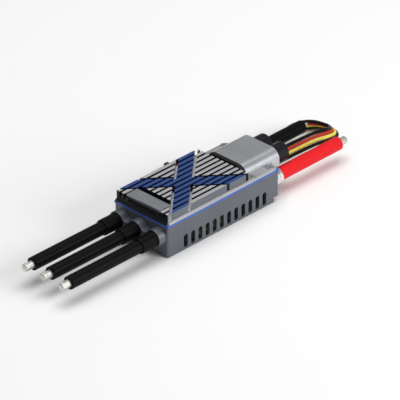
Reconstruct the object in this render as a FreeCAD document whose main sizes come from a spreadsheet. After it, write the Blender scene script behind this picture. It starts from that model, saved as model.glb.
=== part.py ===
"""Electronic speed controller: a finned heatsink on a vented tray, two capacitors and its leads.

The frame is in millimetres. X runs along the case, from the motor leads (-X) to the battery
leads (+X). Y runs across it and Z points up. The origin is the middle of the case's underside.
"""

import FreeCAD, Part
import Sketcher
import math
import os
import re

from FreeCAD import Vector

SIZES = {
    # Lower case: a vented tray that is open at the top
    "case_length": 77.0,
    "case_width": 36.0,
    "case_height": 16.5,
    "case_wall": 1.6,
    "case_floor": 1.6,
    "corner_radius": 1.2,
    "bottom_radius": 0.7,
    "step_length": 3.6,
    "step_height": 3.0,
    "vent_count": 12,
    "vent_pitch": 4.97,
    "vent_start": 12.2,
    "vent_width": 2.7,
    "vent_low": 1.3,
    "vent_height": 7.2,
    # Collar round the motor leads
    "lead_pitch": 12.27,
    "lead_axis_height": 10.6,
    "collar_radius": 4.65,
    "collar_depth": 4.4,
    "collar_valley_radius": 2.8,
    "collar_foot": 4.6,
    # Leads
    "motor_lead_diameter": 6.7,
    "motor_lead_length": 60.0,
    "sleeve_wall": 0.65,
    "sleeve_length": 14.5,
    "lead_clearance": 0.05,
    "bore_clearance": 0.1,
    "positive_lead_diameter": 7.1,
    "negative_lead_diameter": 6.7,
    "battery_lead_length": 49.0,
    "battery_lead_spacing": 24.4,
    "battery_lead_height": 9.6,
    "core_diameter": 4.0,
    "tip_length": 5.5,
    "stub_diameter": 1.5,
    "stub_length": 4.0,
    "lead_inner_reach": 1.0,
    "core_end_gap": 1.0,
    "ferrule_diameter": 9.2,
    "ferrule_length": 5.4,
    # Seam and heatsink
    "seam_thickness": 1.2,
    "flange_thickness": 1.3,
    "flange_chamfer": 0.7,
    "flange_corner_radius": 3.0,
    "block_inset": 0.8,
    "block_back_gap": 1.1,
    "block_height": 4.3,
    "fin_count": 11,
    "fin_width": 1.9,
    "slot_depth": 2.8,
    "short_fin_start": 11.6,
    "plate_recess_depth": 3.4,
    "plate_inset": 0.7,
    "plate_length": 7.2,
    "plate_width": 22.4,
    "plate_thickness": 1.2,
    "plate_side_gap": 0.35,
    "plate_band_height": 1.1,
    "plate_band_depth": 0.8,
    # Diagonal cross
    "cross_shift": 0.3,
    "cross_angle": 40.7,
    "cross_bar_width": 7.3,
    "cross_groove_width": 1.3,
    "cross_depth": 3.7,
    # Capacitors and their cover
    "capacitor_diameter": 9.8,
    "capacitor_length": 31.8,
    "capacitor_setback": 1.5,
    "capacitor_gap": 1.5,
    "capacitor_sink": 2.2,
    "capacitor_ferrule_gap": 0.2,
    "capacitor_end_radius": 1.0,
    "capacitor_clearance": 0.25,
    "cover_overhang": 5.7,
    "cover_length": 23.2,
    "cover_side_gap": 2.2,
    "cover_shoulder": 5.5,
    "cover_headroom": 2.1,
    "cover_wall": 1.2,
    "cover_drop": 3.7,
    "cover_back_gap": 0.1,
    "bezel_thickness": 2.0,
    "bezel_inset": 0.25,
    "capacitor_board_thickness": 1.0,
    "capacitor_board_rise": 1.0,
    "capacitor_board_side_gap": 0.7,
    "capacitor_board_top_gap": 1.0,
    # Fasteners
    "screw_diameter": 2.0,
    "screw_head_diameter": 3.8,
    "screw_head_height": 1.1,
    "screw_clearance": 0.05,
    "flange_screw_length": 4.2,
    "flange_screw_sink": 0.8,
    "flange_screw_inset": 2.7,
    "flange_screw_front": 16.6,
    "flange_screw_back": 3.8,
    "post_diameter": 4.4,
    "post_height": 3.0,
    "case_screw_inset": 6.2,
    "case_screw_bite": 1.7,
    "driver_socket_width": 1.3,
    "driver_socket_depth": 0.6,
    # Electronics
    "power_board_start": 9.0,
    "power_board_post_gap": 0.2,
    "power_board_side_gap": 0.6,
    "power_board_thickness": 1.6,
    "mosfet_length": 6.0,
    "mosfet_width": 5.0,
    "mosfet_height": 0.9,
    "spreader_thickness": 0.9,
    "pad_thickness": 0.9,
    "thermal_stack_length": 44.0,
    "thermal_stack_width": 27.0,
    "bar_thickness": 0.8,
    "bar_width": 6.0,
    "bar_length": 10.0,
    "supply_bar_length": 14.0,
    "control_board_start": 13.0,
    "control_board_length": 37.0,
    "control_board_width": 29.0,
    "control_board_thickness": 1.2,
    "control_board_height": 4.6,
    "spacer_diameter": 4.0,
    "spacer_bore": 2.1,
    "spacer_inset": 3.6,
    "link_length": 10.2,
    "link_width": 2.5,
    "inner_row_share": 0.75,
    "chip_height": 0.9,
    "controller_side": 7.0,
    "driver_chip_side": 4.0,
    "ceramic_length": 3.2,
    "ceramic_width": 1.6,
    "ceramic_height": 1.2,
    "led_side": 1.2,
    "led_height": 0.8,
    "insulator_thickness": 0.3,
    # Signal cable
    "wire_diameter": 1.75,
    "wire_spacing": 0.08,
    "wire_exit_side": 0.5,
    "wire_exit_height": 9.4,
    "wire_exit_tilt": 50.0,
    "header_length": 5.0,
    "header_width": 6.6,
    "header_rise": 3.0,
    "header_inset": 2.5,
    "grommet_diameter": 8.0,
    "grommet_neck_diameter": 7.4,
    "grommet_lip": 1.2,
    "hank_length": 36.0,
    "hank_width": 13.5,
    "hank_height": 7.2,
    "hank_middle": 16.0,
    "hank_side": 30.1,
    "tie_width": 2.4,
    "tie_thickness": 0.5,
    "plug_length": 14.0,
    "plug_width": 2.6,
    "plug_height": 10.4,
    "plug_pitch": 2.54,
    "tail_run": 4.0,
    "tail_side": 24.4,
    "contact_side": 1.3,
    "contact_inset": 1.5,
}

doc = FreeCAD.newDocument("speed_controller")
sheet = doc.addObject("Spreadsheet::Sheet", "sizes")
for row, (alias, number) in enumerate(SIZES.items(), 1):
    sheet.set(f"A{row}", alias)
    sheet.set(f"B{row}", str(number))
    sheet.setAlias(f"B{row}", alias)
doc.recompute()

kept = []


def bound(expression):
    """Turn every size name in an expression into a reference to its cell."""
    return re.sub(r"\b([a-z]+(?:_[a-z]+)+)\b", r"sizes.\1", str(expression))


def value(expression):
    """Work an expression out as a number."""
    return float(sheet.evalExpression(bound(expression)))


def keep(piece, name=None):
    """Put a finished sub-part on the list that is written out."""
    if name:
        piece.Label = name
    kept.append(piece)
    return piece


# Heights and ends that several pieces share
FRONT = "(-case_length / 2)"
BACK = "(case_length / 2)"
SEAM_TOP = "(case_height + seam_thickness)"
FLANGE_TOP = "(case_height + seam_thickness + flange_thickness)"
FIN_TOP = f"({FLANGE_TOP} + block_height)"
RECESS_FLOOR = f"({FIN_TOP} - plate_recess_depth)"
CROSS_FLOOR = f"({FIN_TOP} - cross_depth)"
BLOCK_SIDE = "(case_width / 2 - block_inset)"
BLOCK_FRONT = f"({FRONT} + block_inset)"
FIN_PITCH = f"((2 * {BLOCK_SIDE} - fin_width) / (fin_count - 1))"
COVER_BACK = f"({BACK} + cover_overhang)"
COVER_FRONT = f"({COVER_BACK} - cover_length)"
BLOCK_BACK = f"({COVER_FRONT} - bezel_thickness - block_back_gap)"
CROSS_MIDDLE = f"(({BLOCK_FRONT} + {BLOCK_BACK}) / 2 + cross_shift)"
CAPACITOR_FRONT = f"({COVER_FRONT} + capacitor_setback)"
CAPACITOR_PITCH = "(capacitor_diameter + capacitor_gap)"
FERRULE_REACH = "(capacitor_diameter / 2 + ferrule_diameter / 2 + capacitor_ferrule_gap)"
FERRULE_SIDE = f"(battery_lead_spacing / 2 - {CAPACITOR_PITCH} / 2)"
# The capacitors sit low in the flange, and never nearer to the ferrules than their gap
CAPACITOR_AXIS = (f"max({FLANGE_TOP} - capacitor_sink; "
                  f"battery_lead_height + sqrt({FERRULE_REACH} ^ 2 - {FERRULE_SIDE} ^ 2))")
COVER_TOP = f"({CAPACITOR_AXIS} + capacitor_diameter / 2 + cover_headroom)"
OPENING_HALF = f"({CAPACITOR_PITCH} / 2 + capacitor_diameter / 2 + capacitor_clearance)"
COVER_HALF = f"({OPENING_HALF} + cover_side_gap)"
SLEEVE_RADIUS = "(motor_lead_diameter / 2 + lead_clearance + sleeve_wall)"
LEAD_INNER_END = f"({FRONT} + case_wall + lead_inner_reach)"
BATTERY_INNER_END = f"({BACK} - case_wall - lead_inner_reach)"
PAD_LOW = f"({SEAM_TOP} - pad_thickness)"
SPREADER_LOW = f"({PAD_LOW} - spreader_thickness)"
MOSFET_LOW = f"({SPREADER_LOW} - mosfet_height)"
BOARD_LOW = f"({MOSFET_LOW} - power_board_thickness)"
BOARD_FRONT = f"({FRONT} + power_board_start)"
BOARD_BACK = f"({BACK} - flange_screw_front - post_diameter / 2 - power_board_post_gap)"
BOARD_WIDTH = "(case_width - 2 * case_wall - 2 * power_board_side_gap)"
CONTROL_FRONT = f"({FRONT} + control_board_start)"
CONTROL_BACK = f"({FRONT} + control_board_start + control_board_length)"
CONTROL_TOP = "(control_board_height + control_board_thickness)"
HEADER_BACK = f"({CONTROL_BACK} - header_inset)"
HANK_LOW = "tie_thickness"
WIRE_NAMES = ("signal_wire_upper", "signal_wire_red", "signal_wire_yellow", "signal_wire_lower")
WIRE_STEPS = (1.5, 0.5, -0.5, -1.5)


# ---------------------------------------------------------------- shape helpers

def block(name, x, y, z):
    """Make a box from a low and a high expression along each axis."""
    box = doc.addObject("Part::Box", name)
    for side, axis, (low, high) in zip(("Length", "Width", "Height"), "xyz", (x, y, z)):
        box.setExpression(side, bound(f"({high}) - ({low})"))
        box.setExpression(f"Placement.Base.{axis}", bound(low))
    return box


def centred(middle, size):
    """Give the low and high expressions of a stretch about its middle."""
    return f"({middle}) - ({size}) / 2", f"({middle}) + ({size}) / 2"


def rod(name, axis, ends, centre, radius):
    """Make a cylinder along x or z, between two expressions, about a centre line."""
    cylinder = doc.addObject("Part::Cylinder", name)
    cylinder.setExpression("Height", bound(f"({ends[1]}) - ({ends[0]})"))
    cylinder.setExpression("Radius", bound(radius))
    if axis == "x":
        cylinder.Placement.Rotation = FreeCAD.Rotation(Vector(0, 1, 0), 90)
        start = (ends[0], centre[0], centre[1])
    else:
        start = (centre[0], centre[1], ends[0])
    for direction, expression in zip("xyz", start):
        cylinder.setExpression(f"Placement.Base.{direction}", bound(expression))
    return cylinder


def fused(name, pieces):
    """Join pieces into one."""
    fuse = doc.addObject("Part::MultiFuse", name)
    fuse.Shapes = pieces
    return fuse


def group(name, pieces):
    """Hold separate solids together as one sub-part."""
    compound = doc.addObject("Part::Compound", name)
    compound.Links = pieces
    return compound


def cut(name, base, tools):
    """Take one or more tools away from a base."""
    difference = doc.addObject("Part::Cut", name)
    difference.Base = base
    difference.Tool = tools[0] if len(tools) == 1 else fused(f"{name}_tools", tools)
    return difference


def common(name, base, tool):
    """Keep what two shapes share."""
    overlap = doc.addObject("Part::Common", name)
    overlap.Base = base
    overlap.Tool = tool
    return overlap


def sketch_on(body, role, depth="0"):
    """Open a sketch on one of the body's own planes, moved along the plane's normal."""
    sketch = body.newObject("Sketcher::SketchObject", f"{body.Name}_sketch")
    plane = next(item for item in body.Origin.OriginFeatures if item.Role == role)
    sketch.AttachmentSupport = [(plane, "")]
    sketch.MapMode = "FlatFace"
    sketch.setExpression("AttachmentOffset.Base.z", bound(depth))
    return sketch


def constrain(sketch, kind, *parts, size=None):
    """Add a constraint, and bind its size to an expression if it has one."""
    if size is None:
        sketch.addConstraint(Sketcher.Constraint(kind, *parts))
    else:
        index = sketch.addConstraint(Sketcher.Constraint(kind, *parts, value(size)))
        sketch.setExpression(f"Constraints[{index}]", bound(size))


def pin_point(sketch, line, point, x, y):
    """Hold a point of a sketch at two distances from the sketch's origin."""
    constrain(sketch, "DistanceX", -1, 1, line, point, size=x)
    constrain(sketch, "DistanceY", -1, 1, line, point, size=y)


def draw_rectangle(sketch, x, y):
    """Draw a rectangle between a low and a high expression each way."""
    corners = ((x[0], y[0]), (x[1], y[0]), (x[1], y[1]), (x[0], y[1]))
    places = [Vector(value(across), value(up), 0) for across, up in corners]
    first = sketch.GeometryCount
    for start, end in zip(places, places[1:] + places[:1]):
        sketch.addGeometry(Part.LineSegment(start, end), False)
    for side in range(4):
        constrain(sketch, "Coincident", first + side, 2, first + (side + 1) % 4, 1)
        constrain(sketch, "Vertical" if side % 2 else "Horizontal", first + side)
    pin_point(sketch, first, 1, x[0], y[0])
    pin_point(sketch, first + 1, 2, x[1], y[1])


def draw_circle(sketch, x, y, radius):
    """Draw a circle about a point."""
    centre = Vector(value(x), value(y), 0)
    index = sketch.addGeometry(Part.Circle(centre, Vector(0, 0, 1), value(radius)), False)
    pin_point(sketch, index, 3, x, y)
    constrain(sketch, "Radius", index, size=radius)


def draw_upright_slot(sketch, x, low, high, radius):
    """Draw a slot with round ends between two heights."""
    middle, half = value(x), value(radius)
    bottom, top = value(low) + half, value(high) - half
    for height, start, end in ((bottom, math.pi, 2 * math.pi), (top, 0, math.pi)):
        circle = Part.Circle(Vector(middle, height, 0), Vector(0, 0, 1), half)
        sketch.addGeometry(Part.ArcOfCircle(circle, start, end), False)
    for side, start, end in ((1, bottom, top), (-1, top, bottom)):
        edge = middle + side * half
        sketch.addGeometry(Part.LineSegment(Vector(edge, start, 0), Vector(edge, end, 0)), False)
    for arc, arc_end, line, line_end in ((0, 2, 2, 1), (2, 2, 1, 1), (1, 2, 3, 1), (3, 2, 0, 1)):
        constrain(sketch, "Tangent", arc, arc_end, line, line_end)
    pin_point(sketch, 0, 3, x, f"{low} + {radius}")
    pin_point(sketch, 1, 3, x, f"{high} - {radius}")
    constrain(sketch, "Radius", 0, size=radius)


def pad(body, sketch, length, reverse=False):
    """Raise a sketch into a solid."""
    return extrude(body, "PartDesign::Pad", sketch, length, False, reverse)


def pocket(body, sketch, length, both_ways=False, reverse=False):
    """Sink a sketch into the solid, and check that it takes something away."""
    doc.recompute()
    before = body.Shape.Volume
    feature = extrude(body, "PartDesign::Pocket", sketch, length, both_ways, reverse)
    if body.Shape.Volume > before - 0.01:
        raise RuntimeError(f"{feature.Name} cuts nothing")
    return feature


def extrude(body, kind, sketch, length, both_ways, reverse):
    """Make a pad or a pocket from a sketch."""
    feature = body.newObject(kind, f"{body.Name}_{kind.split('::')[1].lower()}")
    feature.Profile = sketch
    feature.setExpression("Length", bound(length))
    if both_ways:
        feature.SideType = "Symmetric"
    feature.Reversed = reverse
    doc.recompute()
    return feature


def round_edges(body, base, radius, test):
    """Round the edges of a feature whose middle point passes a test."""
    names = [f"Edge{number}" for number, edge in enumerate(base.Shape.Edges, 1)
             if test(edge.CenterOfMass)]
    feature = body.newObject("PartDesign::Fillet", f"{body.Name}_fillet")
    feature.Base = (base, names)
    feature.setExpression("Radius", bound(radius))
    doc.recompute()
    return feature


# ---------------------------------------------------------------- casing

def make_lower_case():
    """Tray with vented sides, a stepped back edge and the scalloped collar of the motor leads."""
    body = doc.addObject("PartDesign::Body", "lower_case")
    outline = sketch_on(body, "XY_Plane")
    draw_rectangle(outline, centred("0", "case_length"), centred("0", "case_width"))
    shell = pad(body, outline, "case_height")
    corner_x, corner_y = value("case_length / 2") - 0.01, value("case_width / 2") - 0.01
    shell = round_edges(body, shell, "corner_radius",
                        lambda point: abs(point.x) > corner_x and abs(point.y) > corner_y)
    round_edges(body, shell, "bottom_radius", lambda point: point.z < 0.01)
    hollow_lower_case(body)
    add_screw_posts(body)
    add_vents(body)
    add_lead_collar(body)
    open_back_wall(body)
    return keep(body)


def hollow_lower_case(body):
    """Cut the step under the back edge and the two depths of the inside."""
    step = sketch_on(body, "XZ_Plane")
    draw_rectangle(step, (f"{BACK} - step_length", f"{BACK} + 1"), ("-1", "step_height"))
    pocket(body, step, "case_width + 2", both_ways=True)
    ends = (("case_floor", f"{BACK} - step_length - case_wall"),
            ("step_height + case_floor", f"{BACK} - case_wall"))
    for floor, end in ends:
        inside = sketch_on(body, "XY_Plane", floor)
        draw_rectangle(inside, (f"{FRONT} + case_wall", end), centred("0", "case_width - 2 * case_wall"))
        pocket(body, inside, "case_height", reverse=True)


def add_screw_posts(body):
    """Raise two posts between the motor leads and four blocks under the flange screws."""
    posts = sketch_on(body, "XY_Plane", "case_floor / 2")
    for side in (-1, 1):
        draw_circle(posts, f"{FRONT} + case_screw_inset", f"{side} * lead_pitch / 2", "post_diameter / 2")
    pad(body, posts, f"{SEAM_TOP} - case_floor / 2")
    blocks = sketch_on(body, "XY_Plane", "case_height - post_height")
    for place in ("flange_screw_front", "flange_screw_back"):
        for low, high in (("-case_width / 2 + case_wall / 2",
                           "-case_width / 2 + flange_screw_inset + post_diameter / 2"),
                          ("case_width / 2 - flange_screw_inset - post_diameter / 2",
                           "case_width / 2 - case_wall / 2")):
            draw_rectangle(blocks, centred(f"{BACK} - {place}", "post_diameter"), (low, high))
    pad(body, blocks, "post_height")
    threads = sketch_on(body, "XY_Plane", "case_height")
    for x, y in flange_screw_places():
        draw_circle(threads, x, y, "screw_diameter / 2 + screw_clearance")
    pocket(body, threads, "flange_screw_length")
    for radius, depth in (("screw_diameter / 2", "case_height + seam_thickness"),
                          ("screw_head_diameter / 2", "screw_head_height")):
        bores = sketch_on(body, "XY_Plane")
        for x, y in case_screw_places():
            draw_circle(bores, x, y, f"{radius} + screw_clearance")
        pocket(body, bores, depth, reverse=True)


def flange_screw_places():
    """List the four screws that go down through the flange."""
    return [(f"{BACK} - {place}", f"{side} * (case_width / 2 - flange_screw_inset)")
            for place in ("flange_screw_front", "flange_screw_back") for side in (-1, 1)]


def case_screw_places():
    """List the two screws that come up through the case floor, between the motor leads."""
    return [(f"{FRONT} + case_screw_inset", f"{side} * lead_pitch / 2") for side in (-1, 1)]


def add_vents(body):
    """Cut the row of upright vents through both sides."""
    vent = sketch_on(body, "XZ_Plane")
    draw_upright_slot(vent, f"{FRONT} + vent_start", "vent_low", "vent_low + vent_height", "vent_width / 2")
    first = pocket(body, vent, "case_width + 2", both_ways=True)
    row = body.newObject("PartDesign::LinearPattern", "vent_row")
    row.Originals = [first]
    along = next(item for item in body.Origin.OriginFeatures if item.Role == "X_Axis")
    row.Direction = (along, [""])
    row.setExpression("Length", bound("vent_pitch * (vent_count - 1)"))
    row.setExpression("Occurrences", bound("vent_count"))
    body.Tip = row
    doc.recompute()


def add_lead_collar(body):
    """Raise three rings joined by hollow curves, and bore them for the sleeved leads."""
    rings = sketch_on(body, "YZ_Plane", FRONT)
    for lead in (-1, 0, 1):
        draw_circle(rings, f"{lead} * lead_pitch", "lead_axis_height", "collar_radius")
    pad(body, rings, "collar_depth", reverse=True)
    reach = "(collar_radius + collar_valley_radius)"
    rise = f"sqrt({reach} ^ 2 - (lead_pitch / 2) ^ 2)"
    web = sketch_on(body, "YZ_Plane", FRONT)
    draw_rectangle(web, ("-lead_pitch", "lead_pitch"),
                   ("lead_axis_height - collar_foot", f"lead_axis_height + {rise} * collar_radius / {reach}"))
    pad(body, web, "collar_depth", reverse=True)
    valleys = sketch_on(body, "YZ_Plane", FRONT)
    for side in (-1, 1):
        draw_circle(valleys, f"{side} * lead_pitch / 2", f"lead_axis_height + {rise}", "collar_valley_radius")
    pocket(body, valleys, "collar_depth + 1")
    bores = sketch_on(body, "YZ_Plane", f"{FRONT} + case_wall + bore_clearance")
    for lead in (-1, 0, 1):
        draw_circle(bores, f"{lead} * lead_pitch", "lead_axis_height", f"{SLEEVE_RADIUS} + bore_clearance")
    pocket(body, bores, "case_wall + bore_clearance + collar_depth + 1")


def open_back_wall(body):
    """Bore the back wall for the battery leads and the grommet, and notch it for the capacitors."""
    wall = sketch_on(body, "YZ_Plane", BACK)
    for side, diameter in ((-1, "positive_lead_diameter"), (1, "negative_lead_diameter")):
        draw_circle(wall, f"{side} * battery_lead_spacing / 2", "battery_lead_height",
                    f"{diameter} / 2 + bore_clearance")
    draw_circle(wall, "wire_exit_side", "wire_exit_height", "grommet_neck_diameter / 2")
    pocket(body, wall, "case_wall + bore_clearance")
    notches = sketch_on(body, "YZ_Plane", BACK)
    for side in (-1, 1):
        draw_circle(notches, f"{side} * {CAPACITOR_PITCH} / 2", CAPACITOR_AXIS,
                    "capacitor_diameter / 2 + capacitor_clearance")
    pocket(body, notches, "case_wall + bore_clearance")


def make_seam_gasket():
    """Flat ring between the tray and the heatsink, open where the capacitors pass."""
    height = ("case_height", SEAM_TOP)
    outer = block("gasket_outer", centred("0", "case_length"), centred("0", "case_width"), height)
    inner = block("gasket_inner", centred("0", "case_length - 2 * case_wall"),
                  centred("0", "case_width - 2 * case_wall"), height)
    opening = block("gasket_opening", ("0", f"{BACK} + 1"), (f"-{OPENING_HALF}", OPENING_HALF), height)
    return keep(cut("seam_gasket", outer, [inner, opening]))


# ---------------------------------------------------------------- heatsink

def make_heatsink():
    """Flange with a finned block, cut out for the name plate and the diagonal cross."""
    body = doc.addObject("PartDesign::Body", "heatsink_blank")
    flange = sketch_on(body, "XY_Plane", SEAM_TOP)
    draw_rectangle(flange, centred("0", "case_length"), centred("0", "case_width"))
    plate = pad(body, flange, "flange_thickness")
    corner_x, corner_y = value("case_length / 2") - 0.01, value("case_width / 2") - 0.01
    for end, radius in ((-1, "corner_radius"), (1, "flange_corner_radius")):
        plate = round_edges(body, plate, radius,
                            lambda point: end * point.x > corner_x and abs(point.y) > corner_y)
    bevel_flange(body, plate)
    finned = sketch_on(body, "XY_Plane", FLANGE_TOP)
    draw_rectangle(finned, (BLOCK_FRONT, BLOCK_BACK), (f"-{BLOCK_SIDE}", BLOCK_SIDE))
    pad(body, finned, "block_height")
    recess = sketch_on(body, "XY_Plane", RECESS_FLOOR)
    draw_rectangle(recess, *plate_recess())
    pocket(body, recess, "plate_recess_depth + 1", reverse=True)
    opening = sketch_on(body, "XY_Plane", FLANGE_TOP)
    draw_rectangle(opening, (COVER_FRONT, f"{BACK} + 1"), (f"-{OPENING_HALF}", OPENING_HALF))
    pocket(body, opening, "flange_thickness")
    screws = sketch_on(body, "XY_Plane", FLANGE_TOP)
    for x, y in flange_screw_places():
        draw_circle(screws, x, y, "screw_diameter / 2 + screw_clearance")
    pocket(body, screws, "flange_thickness")
    sinks = sketch_on(body, "XY_Plane", FLANGE_TOP)
    for x, y in flange_screw_places():
        draw_circle(sinks, x, y, "screw_head_diameter / 2 + screw_clearance")
    pocket(body, sinks, "flange_screw_sink")
    threads = sketch_on(body, "XY_Plane", SEAM_TOP)
    for x, y in case_screw_places():
        draw_circle(threads, x, y, "screw_diameter / 2 + screw_clearance")
    pocket(body, threads, "case_screw_bite + bore_clearance", reverse=True)
    return keep(cut("heatsink", body, slot_cutters("heatsink") + cross_recess()))


def bevel_flange(body, plate):
    """Bevel the flange's upper edge all the way round."""
    height = value(FLANGE_TOP) - 0.01
    names = [f"Edge{number}" for number, edge in enumerate(plate.Shape.Edges, 1)
             if edge.CenterOfMass.z > height]
    bevel = body.newObject("PartDesign::Chamfer", "flange_bevel")
    bevel.Base = (plate, names)
    bevel.setExpression("Size", bound("flange_chamfer"))
    doc.recompute()


def plate_recess():
    """Give the x and y stretches of the recess in front of the short fins."""
    return ((f"{BLOCK_FRONT} - 1", f"{FRONT} + short_fin_start"),
            centred("0", "plate_width + 2 * plate_side_gap"))


def slot_cutters(owner):
    """Make one long box for each slot between two fins."""
    cutters = []
    for gap in range(int(sheet.fin_count) - 1):
        low = f"-{BLOCK_SIDE} + fin_width + {gap} * {FIN_PITCH}"
        cutters.append(block(f"{owner}_slot", (f"{BLOCK_FRONT} - 1", f"{BLOCK_BACK} + 1"),
                             (low, f"{low} + {FIN_PITCH} - fin_width"),
                             (f"{FIN_TOP} - slot_depth", f"{FIN_TOP} + 1")))
    return cutters


def diagonal(name, side, width, height):
    """Make a long box at the cross's angle, turned to one side or the other."""
    bar = doc.addObject("Part::Box", name)
    bar.setExpression("Length", bound("2 * case_length"))
    bar.setExpression("Width", bound(width))
    bar.setExpression("Height", bound(f"{height[1]} - {height[0]}"))
    bar.setExpression("Placement.Rotation.Angle", bound(f"{side} * cross_angle"))
    across = f"({width}) / 2 * {side}"
    bar.setExpression("Placement.Base.x", bound(f"{CROSS_MIDDLE} - case_length * cos(cross_angle)"
                                                f" + {across} * sin(cross_angle)"))
    bar.setExpression("Placement.Base.y", bound(f"-{side} * case_length * sin(cross_angle)"
                                                f" - ({width}) / 2 * cos(cross_angle)"))
    bar.setExpression("Placement.Base.z", bound(height[0]))
    return bar


def cross_recess():
    """Make the two boxes that clear the diagonal bars and the grooves beside them."""
    height = (CROSS_FLOOR, f"({FIN_TOP} + 1)")
    width = "cross_bar_width + 2 * cross_groove_width"
    return [diagonal("cross_recess", side, width, height) for side in (1, -1)]


def make_cross():
    """Slotted diagonal bars: one runs through, the other is in two halves beside it."""
    def blank(name):
        return block(name, (BLOCK_FRONT, BLOCK_BACK), (f"-{BLOCK_SIDE}", BLOCK_SIDE), (CROSS_FLOOR, FIN_TOP))

    def plate_clearance(name):
        return block(name, *plate_recess(), (f"{CROSS_FLOOR} - 1", f"{FIN_TOP} + 1"))

    height = (CROSS_FLOOR, FIN_TOP)
    through = common("through_bar", blank("through_blank"),
                     diagonal("through_box", 1, "cross_bar_width", height))
    keep(cut("cross_bar", through, slot_cutters("cross_bar") + [plate_clearance("cross_bar_front")]))
    split = common("split_bar", blank("split_blank"), diagonal("split_box", -1, "cross_bar_width", height))
    middle = diagonal("split_gap", 1, "cross_bar_width", height)
    keep(cut("cross_bar_halves", split,
             slot_cutters("cross_bar_halves") + [plate_clearance("halves_front"), middle]))


def make_name_plate():
    """Blank plate on a dark base with a sunk band along its front."""
    width = centred("0", "plate_width")
    front = f"{BLOCK_FRONT} + plate_inset"
    top = f"{FIN_TOP} - plate_thickness"
    keep(block("name_plate", (front, f"{front} + plate_length"), width, (top, FIN_TOP)))
    base = block("plate_base_blank", (BLOCK_FRONT, f"{front} + plate_length"), width, (RECESS_FLOOR, top))
    band = block("plate_band", (f"{BLOCK_FRONT} - 1", f"{BLOCK_FRONT} + plate_band_depth"),
                 centred("0", "plate_width - 2 * plate_length / 4"),
                 centred(f"({RECESS_FLOOR} + {top}) / 2", "plate_band_height"))
    keep(cut("plate_base", base, [band]))


# ---------------------------------------------------------------- capacitors and cover

def arched(name, x, low, inset):
    """Make a length of the cover's round-shouldered section above a height, drawn in by an inset."""
    shoulder_y = f"({COVER_HALF} - cover_shoulder)"
    shoulder_z = f"({COVER_TOP} - cover_shoulder)"
    foot = f"({low} - 2 * cover_shoulder)"
    pieces = [block(f"{name}_sides", x, centred("0", f"2 * ({COVER_HALF} - ({inset}))"), (foot, shoulder_z)),
              block(f"{name}_middle", x, (f"-{shoulder_y}", shoulder_y), (foot, f"{COVER_TOP} - {inset}"))]
    for side in (-1, 1):
        pieces.append(rod(f"{name}_shoulder", "x", x, (f"{side} * {shoulder_y}", shoulder_z),
                          f"cover_shoulder - {inset}"))
    below = block(f"{name}_below", (f"{x[0]} - 1", f"{x[1]} + 1"), centred("0", f"4 * {COVER_HALF}"),
                  (f"{foot} - 1", low))
    return cut(name, fused(f"{name}_whole", pieces), [below])


def make_cover():
    """Round-shouldered shell over the capacitors, lower where it hangs past the case, and its bezel."""
    low = f"({FLANGE_TOP} - cover_drop)"
    outer = fused("cover_outer", [
        arched("cover_skin", (COVER_FRONT, COVER_BACK), FLANGE_TOP, "0"),
        arched("cover_hang", (f"{BACK} + cover_back_gap", COVER_BACK), low, "0")])
    inner = arched("cover_inside", (f"{COVER_FRONT} - 1", f"{COVER_BACK} - cover_wall"), f"{low} - 1",
                   "cover_wall")
    holes = [rod("cover_hole", "x", (f"{COVER_BACK} - cover_wall - 1", f"{COVER_BACK} + 1"),
                 (f"{side} * {CAPACITOR_PITCH} / 2", CAPACITOR_AXIS),
                 "capacitor_diameter / 2 + capacitor_clearance") for side in (-1, 1)]
    keep(cut("capacitor_cover", outer, [inner] + holes))
    keep(arched("capacitor_bezel", (f"{COVER_FRONT} - bezel_thickness", COVER_FRONT), FLANGE_TOP,
                "bezel_inset"))


def make_capacitors():
    """Two sleeved capacitors on a small upright board."""
    end = f"{CAPACITOR_FRONT} + capacitor_length"
    for side, name in ((-1, "capacitor_near"), (1, "capacitor_far")):
        can = rod(f"{name}_can", "x", (CAPACITOR_FRONT, end),
                  (f"{side} * {CAPACITOR_PITCH} / 2", CAPACITOR_AXIS), "capacitor_diameter / 2")
        doc.recompute()
        radius = value("capacitor_end_radius")
        rims = [number for number, edge in enumerate(can.Shape.Edges, 1)
                if edge.CenterOfMass.x > value(end) - 0.01]
        rounded = doc.addObject("Part::Fillet", name)
        rounded.Base = can
        rounded.Edges = [(number, radius, radius) for number in rims]
        keep(rounded)
    keep(block("capacitor_board", (f"{CAPACITOR_FRONT} - capacitor_board_thickness", CAPACITOR_FRONT),
               centred("0", f"2 * ({OPENING_HALF} - capacitor_board_side_gap)"),
               (f"{CAPACITOR_AXIS} - capacitor_diameter / 2 + capacitor_board_rise",
                f"{COVER_TOP} - cover_wall - capacitor_board_top_gap")))


# ---------------------------------------------------------------- fasteners

def screw(name, x, y, seat, up):
    """Make a socket screw along Z: its head lies on the seat's up or down side."""
    length = "flange_screw_length" if up > 0 else f"({SEAM_TOP} + case_screw_bite - screw_head_height)"
    head_ends = (seat, f"{seat} + screw_head_height") if up > 0 else (f"{seat} - screw_head_height", seat)
    shank_ends = (f"{seat} - {length}", seat) if up > 0 else (seat, f"{seat} + {length}")
    socket_ends = ((f"{head_ends[1]} - driver_socket_depth", f"{head_ends[1]} + 1") if up > 0 else
                   (f"{head_ends[0]} - 1", f"{head_ends[0]} + driver_socket_depth"))
    body = fused(f"{name}_body", [rod(f"{name}_head", "z", head_ends, (x, y), "screw_head_diameter / 2"),
                                  rod(f"{name}_shank", "z", shank_ends, (x, y), "screw_diameter / 2")])
    socket = rod(f"{name}_socket", "z", socket_ends, (x, y), "driver_socket_width / 2")
    return cut(f"{name}_one", body, [socket])


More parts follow.
